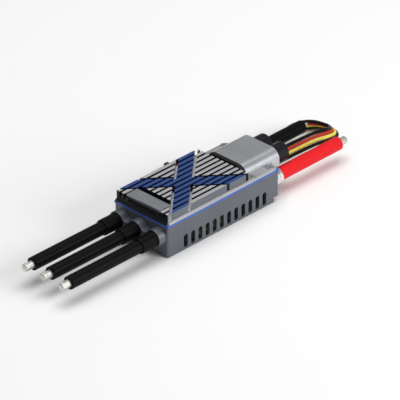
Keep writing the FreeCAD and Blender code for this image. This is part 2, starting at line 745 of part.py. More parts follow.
def make_screws():
    """Four screws through the flange and two up through the case floor."""
    keep(group("flange_screws", [screw("flange_screw", x, y, f"{FLANGE_TOP} - flange_screw_sink", 1)
                                 for x, y in flange_screw_places()]))
    keep(group("case_screws", [screw("case_screw", x, y, "screw_head_height", -1)
                               for x, y in case_screw_places()]))


# ---------------------------------------------------------------- leads

def make_motor_leads():
    """Three leads, each with a tinned tip and a sleeve, and the cores that reach the phase bars."""
    outer_end = f"{FRONT} - motor_lead_length"
    cores = []
    for lead, place in ((-1, "near"), (0, "middle"), (1, "far")):
        axis = (f"{lead} * lead_pitch", "lead_axis_height")
        keep(rod(f"motor_lead_{place}", "x", (outer_end, LEAD_INNER_END), axis, "motor_lead_diameter / 2"))
        keep(rod(f"motor_tip_{place}", "x", (f"{outer_end} - tip_length", outer_end), axis,
                 "core_diameter / 2"))
        span = (f"{FRONT} - sleeve_length", f"{FRONT} + case_wall")
        sleeve = rod("sleeve_outer", "x", span, axis, SLEEVE_RADIUS)
        bore = rod("sleeve_bore", "x", (f"{span[0]} - 1", f"{span[1]} + 1"), axis,
                   "motor_lead_diameter / 2 + lead_clearance")
        keep(cut(f"lead_sleeve_{place}", sleeve, [bore]))
        cores.append(rod("motor_core", "x", (LEAD_INNER_END, f"{BOARD_FRONT} + bar_length - core_end_gap"),
                         axis, "core_diameter / 2"))
    keep(group("motor_lead_cores", cores))


def make_battery_leads():
    """Thick leads through ferrules in the back wall, one with its core bare and one with a thin stub."""
    outer_end = f"{BACK} + battery_lead_length"
    cores = []
    for side, name, bare in ((-1, "positive", "tip"), (1, "negative", "stub")):
        axis = (f"{side} * battery_lead_spacing / 2", "battery_lead_height")
        bare_diameter = "core_diameter" if bare == "tip" else "stub_diameter"
        diameter = f"{name}_lead_diameter"
        keep(rod(f"{name}_lead", "x", (BATTERY_INNER_END, outer_end), axis, f"{diameter} / 2"))
        keep(rod(f"{name}_tip", "x", (outer_end, f"{outer_end} + {bare}_length"), axis,
                 f"{bare_diameter} / 2"))
        ring = rod(f"{name}_ring", "x", (BACK, f"{BACK} + ferrule_length"), axis, "ferrule_diameter / 2")
        bore = rod(f"{name}_bore", "x", (f"{BACK} - 1", f"{BACK} + ferrule_length + 1"), axis,
                   f"{diameter} / 2 + lead_clearance")
        keep(cut(f"{name}_ferrule", ring, [bore]))
        cores.append(rod("battery_core", "x", (f"{BOARD_BACK} - supply_bar_length + core_end_gap",
                                          BATTERY_INNER_END),
                         axis, "core_diameter / 2"))
    keep(group("battery_lead_cores", cores))


# ---------------------------------------------------------------- electronics

def spacer_places():
    """List the four board spacers, each in line with a gap between two leads."""
    return [(x, f"{side} * lead_pitch / 2") for side in (-1, 1)
            for x in (f"{CONTROL_FRONT} + spacer_inset", f"{CONTROL_BACK} - spacer_inset")]


def board(name, x, width, z):
    """Make a circuit board with a hole at each spacer."""
    blank = block(f"{name}_blank", x, centred("0", width), z)
    holes = [rod(f"{name}_hole", "z", (f"{z[0]} - 1", f"{z[1]} + 1"), place, "spacer_bore / 2")
             for place in spacer_places()]
    return keep(cut(name, blank, holes))


def make_power_stage():
    """Power board under the heatsink, with its transistors, spreader, pad and bars."""
    board("power_board", (BOARD_FRONT, BOARD_BACK), BOARD_WIDTH, (BOARD_LOW, MOSFET_LOW))
    middle = f"({BOARD_FRONT} + {BOARD_BACK}) / 2"
    columns, spacing = 6, "thermal_stack_length / 6"
    transistors = []
    for column in range(columns):
        for side in (-1, 1):
            x = f"{middle} + ({column} - ({columns} - 1) / 2) * {spacing}"
            y = f"{side} * (thermal_stack_width - mosfet_width) / 2"
            transistors.append(block("mosfet", centred(x, "mosfet_length"), centred(y, "mosfet_width"),
                                     (MOSFET_LOW, SPREADER_LOW)))
    keep(group("mosfets", transistors))
    stack = centred(middle, "thermal_stack_length"), centred("0", "thermal_stack_width")
    keep(block("heat_spreader", *stack, (SPREADER_LOW, PAD_LOW)))
    keep(block("thermal_pad", *stack, (PAD_LOW, SEAM_TOP)))
    keep(group("phase_bars", [
        block("phase_bar", (BOARD_FRONT, f"{BOARD_FRONT} + bar_length"),
              centred(f"{lead} * lead_pitch", "bar_width"),
              ("lead_axis_height + core_diameter / 2", BOARD_LOW))
        for lead in (-1, 0, 1)]))
    keep(group("supply_bars", [
        block("supply_bar", (f"{BOARD_BACK} - supply_bar_length", BOARD_BACK),
              centred(f"{side} * battery_lead_spacing / 2", "bar_width"),
              ("battery_lead_height + core_diameter / 2", BOARD_LOW)) for side in (-1, 1)]))
    keep(block("current_shunt", centred(middle, "bar_length"), centred("0", "bar_width"),
               (f"{BOARD_LOW} - bar_thickness", BOARD_LOW)))
    keep(group("ceramic_capacitors", [
        block("ceramic", centred(f"{middle} + {column} * ceramic_length * 2", "ceramic_length"),
              centred(f"{side} * lead_pitch * inner_row_share", "ceramic_width"),
              (f"{BOARD_LOW} - ceramic_height", BOARD_LOW))
        for column in (-1, 0, 1) for side in (-1, 1)]))


def make_control_stage():
    """Control board on spacers, with its chips, headers and lamp."""
    board("control_board", (CONTROL_FRONT, CONTROL_BACK), "control_board_width",
          ("control_board_height", CONTROL_TOP))
    middle = f"({CONTROL_FRONT} + {CONTROL_BACK}) / 2"
    on_board = (CONTROL_TOP, f"{CONTROL_TOP} + chip_height")
    keep(block("microcontroller", centred(middle, "controller_side"), centred("0", "controller_side"),
               on_board))
    keep(group("gate_drivers", [
        block("gate_driver", centred(f"{CONTROL_FRONT} + spacer_inset + 1.5 * driver_chip_side",
                                     "driver_chip_side"),
              centred(f"{lead} * lead_pitch * inner_row_share", "driver_chip_side"), on_board)
        for lead in (-1, 0, 1)]))
    keep(block("board_link", centred(middle, "link_length"),
               centred("-control_board_width / 2 + link_width", "link_width"), (CONTROL_TOP, BOARD_LOW)))
    keep(block("status_lamp", centred(f"{CONTROL_FRONT} + spacer_inset", "led_side"),
               centred("control_board_width / 2 - led_side", "led_side"),
               (CONTROL_TOP, f"{CONTROL_TOP} + led_height")))
    spacers = []
    for x, y in spacer_places():
        for low, high in (("case_floor", "control_board_height"), (CONTROL_TOP, BOARD_LOW)):
            post = rod("spacer_post", "z", (low, high), (x, y), "spacer_diameter / 2")
            bore = rod("spacer_bore", "z", (f"{low} - 1", f"{high} + 1"), (x, y), "spacer_bore / 2")
            spacers.append(cut("spacer", post, [bore]))
    keep(group("board_spacers", spacers))
    screws = []
    for x, y in spacer_places():
        head = rod("board_screw_head", "z", (MOSFET_LOW, f"{MOSFET_LOW} + mosfet_height - bore_clearance"),
                   (x, y), "screw_head_diameter / 2")
        shank = rod("board_screw_shank", "z", ("case_floor + bore_clearance", MOSFET_LOW), (x, y),
                    "screw_diameter / 2")
        screws.append(fused("board_screw", [head, shank]))
    keep(group("board_screws", screws))
    keep(block("insulating_sheet", centred(middle, "control_board_length - 4 * spacer_diameter"),
               centred("0", "control_board_width"), ("case_floor", "case_floor + insulator_thickness")))


# ---------------------------------------------------------------- signal cable

# Middle line of the flat cable, each point with the tilt of its four wires from level, in degrees
CABLE_ROUTE = (
    ((value(HEADER_BACK), 0.5, 9.4), 50),
    ((80.0, 0.5, 9.4), 50),
    ((92.0, -0.9, 8.0), 52),
    ((101.5, 2.2, 5.0), 46),
    ((105.8, 10.4, 3.1), 42),
    ((101.4, 18.6, 3.3), 60),
    ((91.5, 20.3, 4.1), 90),
    ((79.0, 18.7, 4.1), 90),
    ((67.0, 18.8, 4.1), 90),
    ((57.0, 19.9, 4.1), 90),
    ((48.5, 22.9, 4.1), 90),
    ((41.0, 24.4, 4.1), 90),
    ((34.0, 24.4, 4.1), 90),
)


def wire_route(number):
    """Give one wire's own points, side by side with the others along the cable's route.

    The level part of an offset is longer at a turn, so that the runs on both sides of it stay a pitch apart.
    """
    offset = WIRE_STEPS[number] * value("wire_diameter + wire_spacing")
    places = [Vector(*place) for place, tilt in CABLE_ROUTE]
    points = []
    for index, (place, tilt) in enumerate(CABLE_ROUTE):
        before, after = places[max(index - 1, 0)], places[min(index + 1, len(places) - 1)]
        inward = (places[index] - before) if index else (after - places[index])
        outward = (after - places[index]) if after != places[index] else inward
        along = (inward.normalize() + outward.normalize()).normalize()
        level = Vector(-along.y, along.x, 0).normalize() / along.dot(outward)
        rise = along.cross(level).normalize()
        lean = math.radians(tilt)
        points.append(places[index] + (level * math.cos(lean) + rise * math.sin(lean)) * offset)
    return points


def tube(points, diameter):
    """Make a round tube along straight runs joined by tangent arcs."""
    edges, start = [], points[0]
    radii = []
    for before, corner, after in zip(points, points[1:], points[2:]):
        inward, outward = (corner - before), (after - corner)
        turn = inward.getAngle(outward)
        reach = 0.45 * min(inward.Length, outward.Length)
        radius = reach / math.tan(turn / 2)
        radii.append(radius)
        first = corner - inward.normalize() * reach
        last = corner + outward.normalize() * reach
        bisector = (outward - inward).normalize()
        middle = corner + bisector * (radius / math.cos(turn / 2) - radius)
        edges.append(Part.LineSegment(start, first).toShape())
        edges.append(Part.Arc(first, middle, last).toShape())
        start = last
    edges.append(Part.LineSegment(start, points[-1]).toShape())
    path = Part.Wire(edges)
    section = Part.Wire(Part.Circle(points[0], points[1] - points[0], diameter / 2).toShape())
    shape = path.makePipeShell([section], True, True)
    share = shape.Volume / (math.pi * diameter ** 2 / 4 * path.Length)
    print("tube: length", round(path.Length, 1), "volume share", round(share, 4),
          "radii", [round(radius, 1) for radius in radii])
    return shape


def make_signal_cable():
    """Four wires side by side, out through a grommet and into a tied hank and a plug."""
    hank_front, hank_back = centred("hank_middle", "hank_length")
    plug_back = f"{hank_front} - 3 * tail_run"
    pitch = value("wire_diameter + wire_spacing")
    for number, name in enumerate(WIRE_NAMES):
        run = tube(wire_route(number), value("wire_diameter"))
        heights = (f"{HANK_LOW} + hank_height / 2", "plug_height / 2")
        tail = tube([Vector(value(f"{hank_front} - {step} * tail_run"), value("tail_side"),
                            value(heights[step // 2]) + WIRE_STEPS[number] * pitch) for step in range(4)],
                    value("wire_diameter"))
        wire = doc.addObject("Part::Feature", name)
        wire.Shape = Part.Compound([run, tail])
        keep(wire)
    keep(block("signal_hank", (hank_front, hank_back), centred("hank_side", "hank_width"),
               (HANK_LOW, f"{HANK_LOW} + hank_height")))
    make_tie()
    make_plug(plug_back)
    make_grommet()
    keep(block("signal_header", (f"{HEADER_BACK} - header_length", HEADER_BACK),
               centred("wire_exit_side", "header_width"),
               (CONTROL_TOP, "wire_exit_height + header_rise")))


def make_tie():
    """Band round the middle of the hank."""
    x = centred("hank_middle", "tie_width")
    band = block("tie_outer", x, centred("hank_side", "hank_width + 2 * tie_thickness"),
                 ("0", f"{HANK_LOW} + hank_height + tie_thickness"))
    inside = block("tie_inner", x, centred("hank_side", "hank_width"),
                   (HANK_LOW, f"{HANK_LOW} + hank_height"))
    keep(cut("cable_tie", band, [inside]))


def make_plug(back):
    """Four-way plug that stands on its narrow side, with a contact in each way."""
    way_end = f"{back} - plug_length + 3 * contact_inset"
    housing = block("plug_blank", (f"{back} - plug_length", back), centred("tail_side", "plug_width"),
                    ("0", "plug_height"))
    ways = [block("plug_way", (f"{back} - plug_length - 1", way_end), centred("tail_side", "contact_side"),
                  centred(f"plug_height / 2 + plug_pitch * {step}", "contact_side")) for step in WIRE_STEPS]
    keep(cut("signal_plug", housing, ways))
    keep(group("plug_contacts", [
        block("plug_contact", (f"{back} - plug_length + contact_inset", way_end),
              centred("tail_side", "contact_side / 2"),
              centred(f"plug_height / 2 + plug_pitch * {step}", "contact_side / 2")) for step in WIRE_STEPS]))


def make_grommet():
    """Soft bush in the back wall: two lips and a neck, bored for the four wires."""
    axis = ("wire_exit_side", "wire_exit_height")
    inner = f"{BACK} - case_wall"
    solid = fused("grommet_blank", [
        rod("grommet_inner_lip", "x", (f"{inner} - grommet_lip", inner), axis, "grommet_diameter / 2"),
        rod("grommet_neck", "x", (inner, BACK), axis, "grommet_neck_diameter / 2"),
        rod("grommet_outer_lip", "x", (BACK, f"{BACK} + grommet_lip"), axis, "grommet_diameter / 2")])
    bores = [rod("grommet_bore", "x", (f"{inner} - grommet_lip - 1", f"{BACK} + grommet_lip + 1"),
                 (f"wire_exit_side + {step} * (wire_diameter + wire_spacing) * cos(wire_exit_tilt)",
                  f"wire_exit_height + {step} * (wire_diameter + wire_spacing) * sin(wire_exit_tilt)"),
                 "wire_diameter / 2 + lead_clearance") for step in WIRE_STEPS]
    keep(cut("signal_grommet", solid, bores))


# ---------------------------------------------------------------- the whole part

def check_document():
    """Stop if any object failed, or any sub-part is empty, broken or named twice."""
    for item in doc.Objects:
        if "Invalid" in item.State or "Error" in item.State:
            raise RuntimeError(f"{item.Label} failed: {item.State}")
    names = [piece.Label for piece in kept]
    if len(set(names)) != len(names):
        raise RuntimeError("two sub-parts share a name")
    for piece in kept:
        if piece.Shape.isNull() or not piece.Shape.isValid() or piece.Shape.Volume <= 0:
            raise RuntimeError(f"{piece.Label} has no sound shape")


def write_parts():
    """Write each sub-part to its own file."""
    os.makedirs("parts", exist_ok=True)
    for piece in kept:
        piece.Shape.exportStep(f"parts/{piece.Label}.step")


make_lower_case()
make_seam_gasket()
make_heatsink()
make_cross()
make_name_plate()
make_cover()
make_capacitors()
make_screws()
make_motor_leads()
make_battery_leads()
make_power_stage()
make_control_stage()
make_signal_cable()
doc.recompute()
check_document()
write_parts()
print(len(kept), "sub-parts written")
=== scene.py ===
"""Electronic speed controller: the looks of its casing, heatsink, capacitors, leads and signal cable."""

import math

import bmesh
import bpy
import numpy as np
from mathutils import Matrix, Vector


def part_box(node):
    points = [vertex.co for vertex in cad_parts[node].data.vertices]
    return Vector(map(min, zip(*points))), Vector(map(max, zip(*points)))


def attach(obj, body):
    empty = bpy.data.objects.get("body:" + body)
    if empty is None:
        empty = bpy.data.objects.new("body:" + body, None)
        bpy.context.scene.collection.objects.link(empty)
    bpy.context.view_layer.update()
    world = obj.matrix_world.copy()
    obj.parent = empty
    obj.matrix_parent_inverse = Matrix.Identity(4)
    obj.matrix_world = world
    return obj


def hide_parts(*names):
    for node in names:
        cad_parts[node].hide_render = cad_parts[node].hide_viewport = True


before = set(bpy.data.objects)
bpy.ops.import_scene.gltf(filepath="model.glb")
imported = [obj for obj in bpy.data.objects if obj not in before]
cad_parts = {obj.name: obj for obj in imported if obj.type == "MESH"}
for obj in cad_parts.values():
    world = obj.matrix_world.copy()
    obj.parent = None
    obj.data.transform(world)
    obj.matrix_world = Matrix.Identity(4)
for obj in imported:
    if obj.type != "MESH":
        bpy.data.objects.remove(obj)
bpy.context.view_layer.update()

bl_info = {
    "name": "Electronic speed controller",
    "version": (1, 0, 0),
    "blender": (4, 5, 0),
    "location": "View3D > Sidebar > Controller",
    "description": "Builds a finned speed controller with its leads, capacitors and signal cable",
    "category": "Add Mesh",
}

MM = 0.001
BODY = "root"
WIRE_NODES = ("signal_wire_upper", "signal_wire_red", "signal_wire_yellow", "signal_wire_lower")
MOTOR_PLACES = ("near", "middle", "far")
BATTERY_POLES = ("positive", "negative")


# ---------------------------------------------------------------- properties

def length(name, default, description):
    """Make a length property in metres."""
    return bpy.props.FloatProperty(name=name, default=default, min=0.0, precision=5, unit="LENGTH",
                                   description=description)


def colour(name, default, description):
    """Make a colour property."""
    return bpy.props.FloatVectorProperty(name=name, default=default, size=3, min=0.0, max=1.0,
                                         subtype="COLOR", description=description)


class ControllerColours(bpy.types.PropertyGroup):
    """Colours of the controller's finishes."""
    case: colour("Case", (0.125, 0.135, 0.155), "Grey of the tray's painted metal")
    seam: colour("Seam", (0.05, 0.13, 0.46), "Blue of the ring between tray and heatsink")
    bare: colour("Bare metal", (0.56, 0.56, 0.58), "Machined tops of the fins and the flange")
    groove: colour("Grooves", (0.72, 0.73, 0.76), "Bright cut walls beside the through bar")
    slot: colour("Slots", (0.004, 0.0045, 0.006), "Black finish left in the slots")
    cross: colour("Cross", (0.045, 0.11, 0.36), "Blue tops of the diagonal bars")
    cross_slot: colour("Cross slots", (0.004, 0.009, 0.035), "Dark blue left in the bars' slots")
    cover: colour("Cover", (0.48, 0.49, 0.52), "Silver paint of the capacitor cover")
    plate: colour("Plate", (0.36, 0.38, 0.41), "Satin metal of the blank plate")
    black_lead: colour("Black lead", (0.002, 0.002, 0.0024), "Black silicone of the thick leads")
    red_lead: colour("Red lead", (0.72, 0.016, 0.02), "Red silicone of the positive lead")
    wires_upper: colour("Upper wire", (0.006, 0.0045, 0.004), "First signal wire")
    wires_red: colour("Red wire", (0.40, 0.035, 0.022), "Second signal wire")
    wires_yellow: colour("Yellow wire", (0.72, 0.60, 0.09), "Third signal wire")
    wires_lower: colour("Lower wire", (0.012, 0.011, 0.003), "Fourth signal wire")


class ControllerSizes(bpy.types.PropertyGroup):
    """Sizes that the visible pieces add to the frame's."""
    edge_softness: length("Edge softness", 0.35 * MM, "Radius that the edges of machined pieces show")
    sleeve_lip: length("Sleeve lip", 1.1 * MM, "Length over which a shrunk sleeve closes on its lead")
    ferrule_chamfer: length("Ferrule chamfer", 0.6 * MM, "Bevel at the ferrule's outer end")
    capacitor_rim: length("Capacitor rim", 0.9 * MM, "Rounding where the sleeve folds over the can's end")
    strand_depth: length("Strand depth", 0.13 * MM, "Depth of the grooves between the tinned strands")
    wire_diameter: length("Wire diameter", 1.75 * MM, "Outside of one signal wire")
    wire_pitch: length("Wire pitch", 1.83 * MM, "Distance between the signal wires' middles")
    camera_distance: length("Camera distance", 1.847, "From the camera to the middle of the case")


# ---------------------------------------------------------------- meshes

def surface_mesh(name, points, wrap_columns=False):
    """Turn a grid of points into quads: each cell joins a point to its neighbours along both parameters."""
    rows, columns = points.shape[:2]
    index = np.arange(rows * columns).reshape(rows, columns)
    if wrap_columns:
        index = np.hstack([index, index[:, :1]])
    quads = np.stack([index[:-1, :-1], index[:-1, 1:], index[1:, 1:], index[1:, :-1]], -1).reshape(-1, 4)
    mesh = bpy.data.meshes.new(name)
    mesh.from_pydata(points.reshape(-1, 3).tolist(), [], quads.tolist())
    return mesh


def close_mesh(mesh, sharp=40.0):
    """Merge the doubles at seams and poles, point the faces outwards, and keep the sharp edges sharp."""
    work = bmesh.new()
    work.from_mesh(mesh)
    bmesh.ops.remove_doubles(work, verts=work.verts, dist=1e-6)
    bmesh.ops.dissolve_degenerate(work, edges=work.edges, dist=1e-7)
    bmesh.ops.recalc_face_normals(work, faces=work.faces)
    work.to_mesh(mesh)
    work.free()
    mesh.shade_smooth()
    mesh.set_sharp_from_angle(angle=math.radians(sharp))
    return mesh


def turned_points(profile, centre, segments=96, swell=None):
    """Revolve a profile about a line along X: each (x, radius) goes round to (x, r cos a, r sin a)."""
    profile = np.asarray(profile, float)
    angle = np.linspace(0, 2 * math.pi, segments, endpoint=False)
    radius = profile[:, 1, None] * np.ones(segments)
    if swell is not None:
        radius = radius * swell(profile[:, 0, None], angle[None, :])
    x = profile[:, 0, None] * np.ones(segments)
    return np.stack([x, centre[0] + radius * np.cos(angle), centre[1] + radius * np.sin(angle)], -1)


def turned(name, profile, centre, segments=96, swell=None, sharp=40.0):
    """Make a closed solid of revolution about a line along X."""
    return close_mesh(surface_mesh(name, turned_points(profile, centre, segments, swell), wrap_columns=True),
                      sharp)


def rounded_corner(middle, radius, start, end, steps=6):
    """List points of an arc: middle + radius times (cos, sin) from one angle to another, in degrees."""
    angle = np.radians(np.linspace(start, end, steps))
    return [(middle[0] + radius * math.cos(a), middle[1] + radius * math.sin(a)) for a in angle]


def add_piece(name, mesh, material, nodes):
    """Put a mesh in the scene as a piece of the object that stands for its CAD nodes, if it has any."""
    piece = bpy.data.objects.new(name, mesh)
    bpy.context.scene.collection.objects.link(piece)
    mesh.materials.append(material)
    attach(piece, BODY)
    if nodes:
        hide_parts(*nodes)
    return piece


def dress(material, *nodes):
    """Give CAD nodes a material."""
    for node in nodes:
        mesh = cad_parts[node].data
        mesh.materials.clear()
        mesh.materials.append(material)


def span(node):
    """Give a node's lowest and highest corner as arrays."""
    low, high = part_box(node)
    return np.array(low), np.array(high)


def inner_radius(lead):
    """Give the radius of a bore that just clears a lead."""
    low, high = span(lead)
    return (high - low)[1] / 2 + 0.02 * MM


def axis_of(node):
    """Give the (y, z) of the middle line of a node that lies along X."""
    low, high = span(node)
    return (low + high)[1:] / 2


# ---------------------------------------------------------------- materials

class Nodes:
    """A short way to build a material's nodes."""

    def __init__(self, name):
        self.material = bpy.data.materials.new(name)
        self.material.use_nodes = True
        self.tree = self.material.node_tree
        self.tree.nodes.clear()
        self.shader = self.add("ShaderNodeBsdfPrincipled")
        output = self.add("ShaderNodeOutputMaterial")
        self.link(self.shader.outputs["BSDF"], output.inputs["Surface"])
        self.coordinates = self.add("ShaderNodeTexCoord")

    def add(self, kind, **settings):
        """Add a node and set its properties."""
        node = self.tree.nodes.new(kind)
        for key, setting in settings.items():
            setattr(node, key, setting)
        return node

    def link(self, source, target):
        """Join an output to an input."""
        self.tree.links.new(source, target)

    def feed(self, socket, source):
        """Set a socket to a number or colour, or link it."""
        if isinstance(source, bpy.types.NodeSocket):
            self.link(source, socket)
        elif socket.type == "RGBA":
            socket.default_value = (*tuple(source)[:3], 1.0)
        else:
            socket.default_value = source

    def noise(self, scale, detail=3.0, roughness=0.5, stretch=(1, 1, 1)):
        """Give noise on object coordinates, stretched along the axes."""
        mapping = self.add("ShaderNodeMapping")
        mapping.inputs["Scale"].default_value = stretch
        self.link(self.coordinates.outputs["Object"], mapping.inputs["Vector"])
        texture = self.add("ShaderNodeTexNoise")
        self.link(mapping.outputs["Vector"], texture.inputs["Vector"])
        texture.inputs["Scale"].default_value = scale
        texture.inputs["Detail"].default_value = detail
        texture.inputs["Roughness"].default_value = roughness
        return texture.outputs["Fac"]

    def math(self, operation, first, second=0.0):
        """Work out one value from two."""
        node = self.add("ShaderNodeMath", operation=operation)
        self.feed(node.inputs[0], first)
        self.feed(node.inputs[1], second)
        return node.outputs[0]

    def scaled(self, value, low, high, out_low=0.0, out_high=1.0):
        """Map a range of values to another, clamped."""
        node = self.add("ShaderNodeMapRange", clamp=True)
        self.feed(node.inputs["Value"], value)
        for key, number in (("From Min", low), ("From Max", high), ("To Min", out_low), ("To Max", out_high)):
            node.inputs[key].default_value = number
        return node.outputs["Result"]

    def mix(self, factor, first, second):
        """Mix two colours."""
        node = self.add("ShaderNodeMix", data_type="RGBA")
        self.feed(node.inputs[0], factor)
        self.feed(node.inputs[6], first)
        self.feed(node.inputs[7], second)
        return node.outputs[2]

    def place(self):
        """Give the object coordinates' x, y and z."""
        node = self.add("ShaderNodeSeparateXYZ")
        self.link(self.coordinates.outputs["Object"], node.inputs[0])
        return node.outputs

    def facing(self):
        """Give the surface normal's x, y and z."""
        node = self.add("ShaderNodeSeparateXYZ")
        self.link(self.coordinates.outputs["Normal"], node.inputs[0])
        return node.outputs

    def relief(self, height, strength, distance, softness=0.0):
        """Bump the surface by a height, and round its edges if a softness is given."""
        bump = self.add("ShaderNodeBump")
        bump.inputs["Strength"].default_value = strength
        bump.inputs["Distance"].default_value = distance
        self.link(height, bump.inputs["Height"])
        if softness:
            bevel = self.add("ShaderNodeBevel", samples=6)
            bevel.inputs["Radius"].default_value = softness
            self.link(bevel.outputs["Normal"], bump.inputs["Normal"])
        self.link(bump.outputs["Normal"], self.shader.inputs["Normal"])

    def set(self, **values):
        """Set the shader's own sockets by name."""
        names = {"colour": "Base Color", "roughness": "Roughness", "metallic": "Metallic",
                 "specular": "Specular IOR Level"}
        for key, value in values.items():
            self.feed(self.shader.inputs[names[key]], value)


def shade(tint, factor):
    """Darken or lighten a colour."""
    return tuple(min(1.0, part * factor) for part in tuple(tint)[:3])


def moulded(name, tint, roughness=0.5, grain=2600.0, depth=0.02, softness=0.0, specular=0.25):
    """Moulded plastic: a fine even grain, with a faint cloud in its colour and gloss."""
    nodes = Nodes(name)
    cloud = nodes.noise(90.0)
    fine = nodes.noise(grain, 2.0)
    nodes.set(colour=nodes.mix(cloud, shade(tint, 0.8), shade(tint, 1.25)), specular=specular,
              roughness=nodes.scaled(cloud, 0.3, 0.7, roughness - 0.06, roughness + 0.06))
    nodes.relief(fine, 0.35, depth * MM, softness)
    return nodes.material


def silicone(name, tint, roughness=0.42):
    """Silicone insulation: nearly matt, with extrusion lines along it and a light film of dust."""
    nodes = Nodes(name)
    lines = nodes.noise(900.0, 2.0, stretch=(0.03, 1, 1))
    dust = nodes.noise(260.0, 4.0, 0.6)
    nodes.set(colour=nodes.mix(nodes.scaled(dust, 0.45, 0.8, 0.0, 0.3), tint, shade(tint, 1.7)),
              roughness=nodes.scaled(dust, 0.3, 0.7, roughness - 0.07, roughness + 0.1),
              specular=0.08)
    nodes.relief(lines, 0.25, 0.03 * MM)
    return nodes.material


def painted_metal(name, tint, roughness, softness, flake=0.18, metallic=0.55):
    """Painted metal: a fine sparkle over a slow cloud in its tone."""
    nodes = Nodes(name)
    cloud = nodes.noise(45.0, 3.0)
    sparkle = nodes.noise(5200.0, 2.0)
    base = nodes.mix(nodes.scaled(cloud, 0.35, 0.65), shade(tint, 0.93), shade(tint, 1.07))
    base = nodes.mix(nodes.scaled(sparkle, 0.5, 0.75, 0.0, flake), base, shade(tint, 1.6))
    nodes.set(colour=base, metallic=metallic, specular=0.5,
              roughness=nodes.scaled(sparkle, 0.3, 0.7, roughness - 0.05, roughness + 0.06))
    nodes.relief(sparkle, 0.16, 0.02 * MM, softness)
    return nodes.material


def brushed_metal(name, tint, roughness, softness, along=(0.03, 1, 1)):
    """Machined metal: fine cutter lines along one axis."""
    nodes = Nodes(name)
    lines = nodes.noise(2400.0, 3.0, stretch=along)
    cloud = nodes.noise(60.0, 3.0)
    base = nodes.mix(nodes.scaled(lines, 0.3, 0.7), shade(tint, 0.86), shade(tint, 1.1))
    nodes.set(colour=nodes.mix(nodes.scaled(cloud, 0.3, 0.7, 0.0, 0.35), base, shade(tint, 0.85)),
              metallic=0.9, roughness=nodes.scaled(lines, 0.3, 0.7, roughness - 0.07, roughness + 0.08))
    nodes.relief(lines, 0.2, 0.015 * MM, softness)
    return nodes.material


def layered_metal(name, base, roughness, finishes, softness):
    """A machined piece whose dark base shows where no finish lies. Each finish is a mask and a tint."""
    nodes = Nodes(name)
    lines = nodes.noise(2100.0, 3.0, stretch=(0.05, 1, 1))
    cloud = nodes.noise(70.0, 3.0)
    streak = nodes.scaled(lines, 0.3, 0.7)
    stain = nodes.scaled(cloud, 0.3, 0.7, 0.0, 0.3)
    surface, metal = base, 0.0
    for mask, tint in finishes(nodes):
        bright = nodes.mix(streak, shade(tint, 0.86), shade(tint, 1.08))
        surface = nodes.mix(mask, surface, nodes.mix(stain, bright, shade(tint, 0.84)))
        metal = nodes.math("MAXIMUM", metal, mask)
    nodes.set(colour=surface, metallic=nodes.scaled(metal, 0.0, 1.0, 0.0, 0.5), specular=0.3,
              roughness=nodes.scaled(metal, 0.0, 1.0, roughness + 0.2, roughness))
    nodes.relief(lines, 0.14, 0.02 * MM, softness)
    return nodes.material


# ---------------------------------------------------------------- cords

# The route's first point is where the signal cable leaves the case, in millimetres
# Middle line of the signal cable in millimetres, each point with the tilt of its four wires from level
CABLE_ROUTE = (
    ((34.0, 0.5, 9.4), 50),
    ((80.0, 0.5, 9.4), 50),
    ((92.0, -0.9, 8.0), 52),
    ((101.5, 2.2, 5.0), 46),
    ((105.8, 10.4, 3.1), 42),
    ((101.4, 18.6, 3.3), 60),
    ((91.5, 20.3, 4.1), 90),
    ((79.0, 18.7, 4.1), 90),
    ((67.0, 18.8, 4.1), 90),
    ((57.0, 19.9, 4.1), 90),
    ((48.5, 22.9, 4.1), 90),
    ((41.0, 24.4, 4.1), 90),
    ((34.0, 24.4, 4.1), 90),
)
# From the hank's inner run over its front end and down to the plug
CABLE_TAIL = (
    ((18.0, 26.8, 4.3), 90),
    ((11.5, 27.4, 7.0), 60),
    ((5.0, 27.0, 9.9), 25),
    ((-1.0, 26.3, 10.3), 5),
    ((-6.5, 25.2, 8.6), 30),
    ((-10.5, 24.6, 6.4), 65),
    ((-14.0, 24.4, 5.2), 90),
)


# The hank's two folds in millimetres: the way that each opens, its middle (x, y) and its radius
HANK_FOLDS = ((1, 4.6, 30.1, 5.9), (-1, 27.4, 31.1, 4.87))
HANK_HEIGHT = 4.1


def hank_turn():
    """One turn of the hank: runs joined by half circles, the second with the smaller radius.

    A half circle is (middle - way * r cos, side - way * r sin), with one more point on the run at each end,
    as far off as its own points are apart.
    """
    half_circle = [(-math.cos(angle), math.sin(angle)) for angle in np.radians(range(90, -91, -30))]
    lead_in = 0.52
    turns = []
    for way, middle, side, radius in HANK_FOLDS:
        for along, across in [(lead_in, 1.0)] + half_circle + [(lead_in, -1.0)]:
            place = (middle + way * radius * along, side - way * radius * across, HANK_HEIGHT)
            turns.append((place, 90))
    return tuple(turns)


def wire_points(offset):
    """Give one wire's points in metres, at its offset across the flat cable, measured along the tilt.

    The level part of an offset is longer at a turn, so that the runs on both sides of it stay a pitch apart.
    """
    route = CABLE_ROUTE + hank_turn() + CABLE_TAIL
    places = np.array([place for place, tilt in route])
    lean = np.radians([tilt for place, tilt in route])[:, None]
    runs = places[1:] - places[:-1]
    runs /= np.linalg.norm(runs, axis=1)[:, None]
    inward, outward = np.vstack([runs[:1], runs]), np.vstack([runs, runs[-1:]])
    along = inward + outward
    along /= np.linalg.norm(along, axis=1)[:, None]
    level = np.stack([-along[:, 1], along[:, 0], np.zeros(len(along))], -1)
    level /= np.linalg.norm(level, axis=1)[:, None]
    rise = np.cross(along, level)
    level /= np.sum(along * outward, axis=1)[:, None]
    return (places + (level * np.cos(lean) + rise * np.sin(lean)) * offset) * MM


